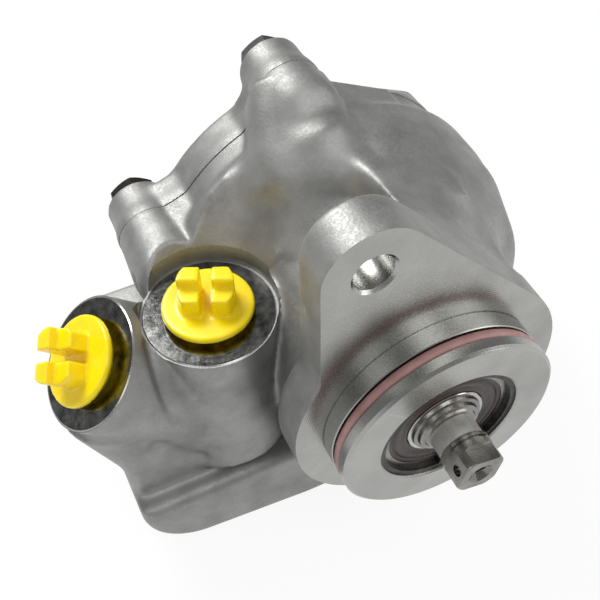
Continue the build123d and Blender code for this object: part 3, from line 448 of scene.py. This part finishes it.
def housingFills():
    # stock that the machining takes off again, so that the skin of the raw casting has no holes
    h = housing
    fills = [rod((0, h["pilotFront"] + 2, 0), (0, 50, 0), 31),
             rod((0, 47, 0), (0, h["parting"] + 1.5, 0), 40),
             stock("housing", 0.5, 10, -h["stock"]),
             stock("housing", h["parting"] - 5, h["parting"] - 0.5, h["stock"])]
    for x, z in h["ears"]:
        fills.append(rod((x, -1.5, z), (x, h["earThickness"] - 0.3, z), 9))
    for origin, axis, depth in h["ports"]:
        fills.append(rod(along(origin, axis, -depth - 8), along(origin, axis, 3), h["bossRadius"] - 0.1))
    for x, z in (polar(h["screwCircle"], angle) for angle in h["screwAngles"]):
        fills.append(rod((x, 72, z), (x, h["parting"] + 1.2, z), 7))
    x, z = h["valve"]
    fills.append(rod((x, h["valveFront"] - 2, z), (x, h["blockRear"] + 1.2, z), 15))
    fills += [taper(*h["shoulder"]), hull(h["slope"])]
    return fills + passages(1.0)


def housingCuts():
    h = housing
    cuts = [box((-wide, -60, -wide), (wide, h["flangeFace"], wide), turnedIndex),
            box((-wide, h["parting"], -wide), (wide, 200, wide), turnedIndex)]
    r, through = h["earHole"], h["earThickness"] + 2
    for x, z in h["ears"]:
        cuts.append(turned("earHole", [(-2, 0), (-2, r + 1), (0, r + 1), (1, r), (through, r), (through, 0)],
                           (x, 0, z), index=turnedIndex))
    r, rim, floor = h["portBore"], h["spotface"], -h["spotfaceDepth"]
    for origin, axis, depth in h["ports"]:
        cuts.append(turned("portCut", [
            (-depth - 5, 0), (-depth, r), (floor - 1, r), (floor, r + 1), (floor, rim),
            (floor - 0.3, rim + 0.4), (floor - 0.3, rim + 1.2), (6, rim + 2.4), (6, 0)],
            origin, axis, steps=192,
            index=[turnedIndex] * 3 + [spotIndex] + [turnedIndex] + [castIndex] * 4))
    for x, z in (polar(h["screwCircle"], angle) for angle in h["screwAngles"]):
        cuts.append(rod((x, h["screwBoreFront"], z), (x, h["screwBoreRear"], z), h["screwBore"], turnedIndex))
    x, z = h["valve"]
    front, rear, step = h["valveFront"], h["blockRear"], h["blockRear"] - h["plugDepth"]
    cuts.append(turned("valveBore", [
        (front, 0), (front, h["valveBore"]), (step, h["valveBore"]), (step, h["plugBore"]),
        (rear, h["plugBore"]), (rear, h["blockFacing"]), (rear + 9, h["blockFacing"]), (rear + 9, 0)],
        (x, 0, z), index=turnedIndex))
    return cuts + passages(0)


def pilotSpigot():
    h = housing
    front, r, neck = h["pilotFront"], h["pilotRadius"], h["pilotRadius"] - h["undercut"]
    grooveFront, grooveRear, grooveFloor = h["groove"]
    return turned("pilotSpigot", [
        (front, 0), (front, r - 1.2), (front + 1.0, r), (grooveFront - 0.3, r), (grooveFront, r - 0.3),
        (grooveFront, grooveFloor), (grooveRear, grooveFloor), (grooveRear, r - 0.3), (grooveRear + 0.3, r),
        (-0.6, r), (-0.4, neck), (2, neck), (2, 0)], steps=256, index=turnedIndex)


def shaftPassage():
    h = housing
    r, front, rear = h["bearingRadius"], h["bearingFront"], h["bearingRear"]
    shoulder, throat, snap, mouth = h["bearingShoulder"], h["throat"], h["snapGroove"], h["pilotFront"]
    sealFront, sealRear, sealRadius = h["sealPocket"]
    chamberFront, chamberRear, chamberRadius = h["chamber"]
    return turned("shaftPassage", [
        (mouth - 1, 0), (mouth - 1, r + 1.6), (mouth, r + 0.6), (mouth + 0.6, r), (front - 2, r),
        (front - 2, snap), (front, snap), (front, r), (rear, r), (rear, shoulder),
        (sealFront, shoulder), (sealFront, sealRadius),
        (sealRear, sealRadius), (sealRear, throat), (chamberFront, throat), (chamberFront, chamberRadius),
        (chamberRear, chamberRadius), (chamberRear, 0)], steps=256, index=turnedIndex)


def castHousing():
    h = housing
    body = skin("castHousing", [nodes["housing"]] + housingFills(), h["voxel"], h["passes"], h["inner"],
                h["outer"], h["blends"], h["blendPasses"], h["crisp"], h["keeps"])
    pressed(body, h["strokes"])
    # the third finish is the spotface's, whose colour paints in its dark reflection
    for name in ("castAluminium", "turnedAluminium", "spotfacePaintedReflection"):
        body.data.materials.append(materials[name])
    print("housing skin:", len(body.data.polygons), "faces")
    carve(body, housingCuts())
    carve(body, [pilotSpigot()], "UNION")
    carve(body, [shaftPassage()])
    shaded(body)
    return dress(body, "casing", "cast_aluminium", "housing")


castHousing()
print("housing done")


# Rear cover, cast and then faced on its joint and on the screw bosses
coverLook = {
    # the lip stands proud of the housing at the joint and fades out over fadeLength
    "voxel": 1.1, "passes": 12, "inner": 0.5, "outer": 0.12, "lip": 0.45, "fadeLength": 4,
    "lugRear": 108.0, "lugRadius": 12.3, "screwHole": 5.4, "pinCircle": 31.5, "pinAngles": (25.0, 205.0),
    # the spigot that closes the chamber, the face seal's groove (floor, two radii) and the bush's bore
    "spigot": 37.45, "spigotFront": 88.4, "sealGroove": (95, 40.5, 43.5), "bushBore": (103.4, 11),
}


def swelled(piece, growth, rear, fade):
    # moves the casting outwards, square to the shaft, in front of rear
    mesh = piece.data
    place, normal = readPoints(mesh), readPoints(mesh, "normal") * (1, 0, 1)
    place += normal * (growth * mm * np.clip((rear + fade - place[:, 1] / mm) / fade, 0, 1))[:, None]
    movePoints(mesh, place)


def castCover():
    c, h = coverLook, housing
    face, spigot, front, lug = h["parting"], c["spigot"], c["spigotFront"], c["lugRear"]
    grooveFloor, grooveInner, grooveOuter = c["sealGroove"]
    bushEnd, bush = c["bushBore"]
    fills = [rod((0, 89, 0), (0, 104, 0), 44), stock("rear_cover", face + 0.5, face + 5, -h["stock"])]
    cuts = [turned("joint", [
        (80, 0), (80, 110), (face, 110), (face, grooveOuter), (grooveFloor, grooveOuter),
        (grooveFloor, grooveInner), (face, grooveInner), (face, spigot), (front, spigot), (front, bush),
        (bushEnd, bush), (bushEnd, 0)], steps=192, index=turnedIndex)]
    for x, z in (polar(h["screwCircle"], angle) for angle in h["screwAngles"]):
        fills.append(rod((x, 93, z), (x, lug + 1.2, z), c["lugRadius"] - 0.6))
        cuts.append(rod((x, lug, z), (x, lug + 5, z), c["lugRadius"] + 0.8, turnedIndex))
        cuts.append(rod((x, 90, z), (x, lug + 1, z), c["screwHole"], turnedIndex))
    for x, z in (polar(c["pinCircle"], angle) for angle in c["pinAngles"]):
        cuts.append(rod((x, 86, z), (x, 94.4, z), 2.5, turnedIndex))
    body = skin("castCover", [nodes["rear_cover"]] + fills, c["voxel"], c["passes"], c["inner"], c["outer"])
    swelled(body, c["lip"], face + 3, c["fadeLength"])
    for name in ("castAluminium", "turnedAluminium"):
        body.data.materials.append(materials[name])
    carve(body, cuts)
    shaded(body)
    return dress(body, "casing", "cast_aluminium", "rear_cover")


castCover()
print("cover done")


# Yellow caps: the CAD solids with moulded, rounded edges
capLook = {"voxel": 0.42, "passes": 7, "inner": 0.4, "outer": 0.4}


def roundedCap(node, name):
    c = capLook
    cap = skin(name, [nodes[node]], c["voxel"], c["passes"], c["inner"], c["outer"])
    cap.data.materials.append(materials["capPlastic"])
    shaded(cap, 60)
    return dress(cap, "casing", "yellow_plastic", node)


roundedCap("upright_port_plug", "uprightPortCap")
roundedCap("side_port_plug", "sidePortCap")
print("caps done")


# Cover screws: one screw made once and set on the five bosses by a node tree
screwLook = {"washerRadius": 10.0, "washerThickness": 1.6, "acrossFlats": 16.0, "headHeight": 5.6,
             "shankRadius": 5.0, "shankLength": 33.0}


def hexScrew():
    s = screwLook
    rear = s["washerThickness"] + s["headHeight"]
    crown = s["acrossFlats"] / 2
    corner = crown / cos(pi / 6)
    bm = bmesh.new()
    bmesh.ops.create_cone(bm, cap_ends=True, segments=6, radius1=corner, radius2=corner,
                          depth=s["headHeight"] + 0.4)
    bm.transform(Matrix.Translation((0, 0, rear - s["headHeight"] / 2 - 0.2)))
    bm.transform(facingAlong((0, 1, 0)) @ Matrix.Scale(mm, 4))
    head = toObject("screwHead", bm, "blackOxide")
    carve(head, [turned("crown", [
        (0, 0), (0, 12), (rear - 1.1, 12), (rear - 1.1, crown * 1.16), (rear - 0.1, crown * 0.95),
        (rear, crown * 0.9), (rear, 0)])], "INTERSECT")
    r, w, shank, end = s["washerRadius"], s["washerThickness"], s["shankRadius"], -s["shankLength"]
    body = turned("screwBody", [
        (end, 0), (end, shank - 1), (end + 1, shank), (0, shank), (0, r - 0.3), (0.3, r), (w - 0.5, r),
        (w, r - 0.8), (w + 0.1, 0)], steps=64, finish="blackOxide")
    screw = joined("hexScrew", [head, body])
    screw.data.materials.clear()
    screw.data.materials.append(materials["blackOxide"])
    discard([head, body])
    return shaded(screw, 25)


def scattered(name, places, shape, finish):
    # sets a shape on each vertex of a point mesh with a node tree, and returns it as a plain mesh
    mesh = bpy.data.meshes.new(name)
    mesh.from_pydata([Vector(p) * mm for p in places], [], [])
    piece = bpy.data.objects.new(name, mesh)
    bpy.context.scene.collection.objects.link(piece)
    tree = bpy.data.node_groups.new(name + "Tree", "GeometryNodeTree")
    tree.interface.new_socket("Geometry", in_out="INPUT", socket_type="NodeSocketGeometry")
    size = tree.interface.new_socket("Shape size", in_out="INPUT", socket_type="NodeSocketFloat")
    source = tree.interface.new_socket("Shape", in_out="INPUT", socket_type="NodeSocketObject")
    tree.interface.new_socket("Geometry", in_out="OUTPUT", socket_type="NodeSocketGeometry")
    entry = addNode(tree, "NodeGroupInput")
    points = addNode(tree, "GeometryNodeMeshToPoints", None, {"Mesh": entry.outputs["Geometry"]})
    info = addNode(tree, "GeometryNodeObjectInfo", None, {"Object": entry.outputs["Shape"]})
    copies = addNode(tree, "GeometryNodeInstanceOnPoints", None,
                     {"Points": points.outputs[0], "Instance": info.outputs["Geometry"],
                      "Scale": entry.outputs["Shape size"]})
    real = addNode(tree, "GeometryNodeRealizeInstances", None, {"Geometry": copies.outputs[0]})
    painted = addNode(tree, "GeometryNodeSetMaterial", {"Material": materials[finish]},
                      {"Geometry": real.outputs[0]})
    addNode(tree, "NodeGroupOutput", None, {"Geometry": painted.outputs[0]})
    scatter = piece.modifiers.new("scatter", "NODES")
    scatter.node_group = tree
    scatter[size.identifier] = 1.0
    scatter[source.identifier] = shape
    applied(piece)
    discard([shape])
    return piece


screwPlaces = onCircle(housing["screwCircle"], coverLook["lugRear"], housing["screwAngles"])
dress(scattered("hexScrews", screwPlaces, hexScrew(), "blackOxide"), "casing", "black_steel", "cover_screws")
print("screws done")


# Bearing and seals seen in the pilot bore
bearing = {"front": -12.1, "rear": 2.9, "outer": 26.0, "outerInside": 21.8, "innerOutside": 14.5, "bore": 10.0,
           "ballCircle": 18.0, "ballRadius": 4.5, "balls": 8, "raceGap": 0.05}
bearingMiddle = (bearing["front"] + bearing["rear"]) / 2


def bearingBalls():
    b = bearing
    bm = bmesh.new()
    bmesh.ops.create_uvsphere(bm, u_segments=32, v_segments=20, radius=b["ballRadius"] * mm)
    ball = shaded(toObject("ball", bm, "polishedSteel"), 80)
    angles = [360 / b["balls"] * n for n in range(b["balls"])]
    return scattered("bearingBalls", onCircle(b["ballCircle"], bearingMiddle, angles), ball, "polishedSteel")


def racePoints(low, high, count=9):
    # the groove that the balls run in, as points of a ring's outline
    b = bearing
    r = b["ballRadius"] + b["raceGap"]
    points = []
    for n in range(count + 1):
        a = radians(low + (high - low) * n / count)
        points.append((bearingMiddle + r * cos(a), b["ballCircle"] + r * sin(a)))
    return points


def bearingRings():
    b = bearing
    f, r, rim, bore = b["front"], b["rear"], b["outer"], b["bore"]
    inside, outside = b["outerInside"], b["innerOutside"]
    depth = b["ballRadius"] + b["raceGap"]
    side = np.degrees(np.arcsin((inside - b["ballCircle"]) / depth))
    outer = turned("bearingOuterRing", [
        (f, inside), (f, rim - 0.8), (f + 0.8, rim), (r - 0.8, rim), (r, rim - 0.8), (r, inside)]
        + racePoints(side, 180 - side), steps=160, finish="groundSteel")
    side = np.degrees(np.arcsin((b["ballCircle"] - outside) / depth))
    inner = turned("bearingInnerRing", [
        (f, outside - 0.25), (f, bore + 0.9), (f + 0.9, bore), (r - 0.9, bore), (r, bore + 0.9),
        (r, outside)]
        + racePoints(360 - side, 180 + side) + [(f + 0.25, outside)], steps=160, finish="polishedSteel")
    return shaded(outer, 25), shaded(inner, 25)


outerRing, innerRing = bearingRings()
dress(outerRing, "casing", "bearing_steel", "bearing_outer_ring")
dress(innerRing, "rotating_group", "bearing_steel", "bearing_inner_ring")
dress(bearingBalls(), "ball_set", "bearing_steel", "bearing_balls")


# Drive shaft: collar and square tang at the tip, ground nose, stepped shoulder, journal, spline
shaftLook = {
    "tip": -34.3, "collarRear": -23.7, "collar": 9.0, "nose": 8.3, "square": 14.6, "squareLength": 6.2,
    "flatLength": 11.0, "turn": 14.0, "crossHole": 2.0, "crossHoleY": -30.7, "centreHole": 2.3,
    "shoulder": ((-15.6, 9.4), (-14.9, 9.9), (-14.6, 11.2), (-13.4, 11.6), (-13.1, 12.8), (-12.1, 13.2)),
    # journal and clip groove: start, end, radius
    "noseRear": -15.9, "journal": (-12.1, 15, 10), "body": 9, "clipGroove": (79.45, 80.65, 7.8),
    "rear": 103.0,
    "spline": (57.4, 79.45), "splineRoot": 7.5, "splineGaps": 10, "gapWidth": 2.6,
}


def driveShaft():
    s = shaftLook
    tip, collar, groove, collarRear = s["tip"], s["collar"], s["collarRear"] - 1.2, s["collarRear"]
    journalFront, journalRear, journal = s["journal"]
    clipFront, clipRear, clip = s["clipGroove"]
    front = [(tip, 0), (tip, collar - 0.7), (tip + 0.3, collar - 0.2), (tip + 0.8, collar),
             (groove - 1, collar), (groove - 0.9, collar - 0.9), (groove - 0.1, collar - 0.9),
             (groove, collar), (collarRear, collar)]
    nose = [(collarRear + 0.7, s["nose"]), (s["noseRear"], s["nose"])]
    back = [(journalFront, journal), (journalRear, journal), (journalRear + 1, s["body"]),
            (clipFront, s["body"]), (clipFront, clip), (clipRear, clip), (clipRear, s["body"]),
            (s["rear"] - 1, s["body"]), (s["rear"], s["body"] - 1), (s["rear"], 0)]
    profile = front + nose + list(s["shoulder"]) + back
    # only the run of the nose has the bright finish, whose extra lightness is painted highlight
    paintedHighlightRun = len(front)
    shaft = turned("driveShaft", profile, steps=192, finish="spunSteelPaintedHighlight",
                   index=[0 if n == paintedHighlightRun else 1 for n in range(len(profile))])
    shaft.data.materials.append(materials["groundSteel"])
    turn = Matrix.Rotation(radians(s["turn"]), 4, "Y")
    half, far = s["square"] / 2, 14
    cuts = []
    for side in (-1, 1):
        near, off = side * (half + far / 2) - far / 2, side * (half + far / 2) + far / 2
        spans = (((-far, tip - 1, near), (far, tip + s["squareLength"], off)),
                 ((near, tip - 1, -far), (off, tip + s["flatLength"], far)))
        for low, high in spans:
            flat = box(low, high, 1)
            flat.data.transform(turn)
            cuts.append(flat)
    cross = rod((-far, s["crossHoleY"], 0), (far, s["crossHoleY"], 0), s["crossHole"], 1)
    cross.data.transform(turn)
    cuts.append(cross)
    hole = s["centreHole"]
    cuts.append(turned("centreHole", [
        (tip - 1, 0), (tip - 1, 4.9), (tip, 4.5), (tip + 2.2, hole), (tip + 6, hole), (tip + 7.2, 0)],
        steps=64, index=1))
    low, high = s["spline"]
    side = s["gapWidth"] / 2
    for n in range(s["splineGaps"]):
        angle = 360 / s["splineGaps"] * (n + 0.5)
        gap = box((s["splineRoot"], low, -side), (12, high, side), 1)
        gap.data.transform(Matrix.Rotation(radians(-angle), 4, "Y"))
        cuts.append(gap)
    return shaded(carve(shaft, cuts), 25)


dress(driveShaft(), "rotating_group", "ground_steel", "drive_shaft")


# Rubber shield of the bearing, with a lip inside and a bead near its rim
shieldLook = {"front": -11.6, "inner": 14.6, "outer": 21.8, "thickness": 0.8}


def bearingShield():
    s = shieldLook
    y, a, b, t = s["front"], s["inner"], s["outer"], s["thickness"]
    profile = [(y + 0.1, a), (y - 0.1, a + 0.5), (y - 0.1, a + 1.4), (y + 0.15, a + 1.9),
               (y + 0.15, a + 2.3), (y - 0.25, a + 2.8), (y - 0.3, b - 2.4), (y - 0.1, b - 2.0),
               (y + 0.2, b - 1.5), (y + 0.2, b - 0.9), (y - 0.05, b - 0.5), (y, b), (y + t, b), (y + t, a)]
    return shaded(turned("bearingShield", profile, steps=160, finish="nitrileRubber"), 50)


dress(bearingShield(), "casing", "seal_rubber", "bearing_shield")


# O-ring of the pilot, squeezed a little wider along the shaft
ringLook = {"middle": 38.525, "section": 1.475, "y": -8.45, "squeeze": 1.25, "sides": 24}


def pilotRing():
    p = ringLook
    outline = []
    for n in range(p["sides"]):
        a = 2 * pi * n / p["sides"]
        outline.append((p["y"] + p["section"] * p["squeeze"] * cos(a), p["middle"] + p["section"] * sin(a)))
    return shaded(turned("pilotRing", outline, steps=256, finish="dustyRubber"), 80)


dress(pilotRing(), "casing", "brown_rubber", "pilot_o_ring")
print("bearing and seals done")


# CAD nodes whose shape is right get a finish of their own
nodeFinishes = {
    "bearing_cage": "pressedSteel", "bearing_snap_ring": "phosphatedSteel",
    "shaft_seal": "nitrileRubber", "shaft_seal_spring": "groundSteel", "cover_seal": "nitrileRubber",
    "front_plate_seal": "nitrileRubber", "valve_plug_seal": "nitrileRubber", "plate_spring": "phosphatedSteel",
    "front_plate": "sinteredIron", "rear_plate": "sinteredIron", "cam_ring": "polishedSteel",
    "rotor": "groundSteel", "rotor_clip": "phosphatedSteel", "locating_pins": "polishedSteel",
    "rear_bush": "bearingBronze", "flow_valve_spool": "polishedSteel", "relief_seat": "groundSteel",
    "relief_ball": "polishedSteel", "relief_spring": "phosphatedSteel", "flow_valve_spring": "phosphatedSteel",
    "valve_plug": "blackOxide",
}
for number in range(1, 11):
    nodeFinishes["vane_%02d" % number] = "polishedSteel"
for name, finish in nodeFinishes.items():
    for place in nodes[name].material_slots:
        place.material = materials[finish]
print("finishes on", len(nodeFinishes), "nodes")


# Camera, lamps, floor and world
studio = {
    # camera place in millimetres, and the directions of the picture's right and lower side
    "camera": (-112.10, -147.57, 273.56), "right": (0.904, -0.427, -0.021), "down": (-0.342, -0.694, -0.634),
    "lens": 56.6, "sensor": 36.0, "floor": -0.0785, "floorSize": 3.0, "world": 0.31,
    # the lamps point at the middle: direction towards the lamp, distance and width in metres, watts
    "middle": (-15, 40, 5),
    "lamps": {"topBox": ((-0.24, 0.60, 0.77), 0.9, 0.42, 8.0),
              "leftFill": ((-0.66, -0.47, 0.58), 1.1, 0.45, 1.6),
              "rightFill": ((0.78, -0.45, 0.43), 1.2, 0.8, 6.0),
              "frontBox": ((0.14, -0.5, 0.85), 1.1, 0.5, 3.0)},
}


def makeCamera():
    s = studio
    lens = bpy.data.cameras.new("camera")
    lens.lens, lens.sensor_width = s["lens"], s["sensor"]
    camera = bpy.data.objects.new("camera", lens)
    bpy.context.scene.collection.objects.link(camera)
    right = Vector(s["right"]).normalized()
    up = (-Vector(s["down"])).normalized()
    back = right.cross(up).normalized()
    up = back.cross(right)
    turn = Matrix((right, up, back)).transposed().to_4x4()
    camera.matrix_world = Matrix.Translation(Vector(s["camera"]) * mm) @ turn
    bpy.context.scene.camera = camera


def makeLamps():
    s = studio
    for name, (direction, distance, size, power) in s["lamps"].items():
        light = bpy.data.lights.new(name, "AREA")
        light.shape, light.size, light.energy = "SQUARE", size, power
        lamp = bpy.data.objects.new(name, light)
        bpy.context.scene.collection.objects.link(lamp)
        way = Vector(direction).normalized()
        lamp.location = Vector(s["middle"]) * mm + way * distance
        lamp.rotation_euler = way.to_track_quat("Z", "Y").to_euler()


def makeFloor():
    s = studio
    bm = bmesh.new()
    bmesh.ops.create_circle(bm, cap_ends=True, segments=64, radius=s["floorSize"])
    floor = toObject("floor", bm)
    floor.location.z = s["floor"]
    paint = bpy.data.materials.new("whiteFloor")
    paint.use_nodes = True
    tree = paint.node_tree
    shader = tree.nodes["Principled BSDF"]
    shader.inputs["Base Color"].default_value = linear("#f2f2f2")
    shader.inputs["Roughness"].default_value = 0.9
    glow = addNode(tree, "ShaderNodeEmission", {"Strength": 1.0})
    path = addNode(tree, "ShaderNodeLightPath")
    seen = addNode(tree, "ShaderNodeMath", None,
                   {0: path.outputs["Is Camera Ray"], 1: path.outputs["Is Glossy Ray"]}, operation="ADD")
    seen = addNode(tree, "ShaderNodeMath", None, {0: seen.outputs[0], 1: path.outputs["Is Transmission Ray"]},
                   operation="ADD", use_clamp=True)
    share = addNode(tree, "ShaderNodeMath", {1: 0.9}, {0: seen.outputs[0]}, operation="MULTIPLY")
    blend = addNode(tree, "ShaderNodeMixShader", None,
                    {0: share.outputs[0], 1: shader.outputs[0], 2: glow.outputs[0]})
    tree.links.new(blend.outputs[0], tree.nodes["Material Output"].inputs["Surface"])
    floor.data.materials.clear()
    floor.data.materials.append(paint)


def makeWorld():
    world = bpy.data.worlds.new("studio")
    bpy.context.scene.world = world
    world.use_nodes = True
    background = world.node_tree.nodes["Background"]
    background.inputs["Color"].default_value = (1, 1, 1, 1)
    background.inputs["Strength"].default_value = studio["world"]


makeCamera()
makeLamps()
makeFloor()
makeWorld()
bpy.context.scene.view_settings.view_transform = "Standard"
print("studio ready")
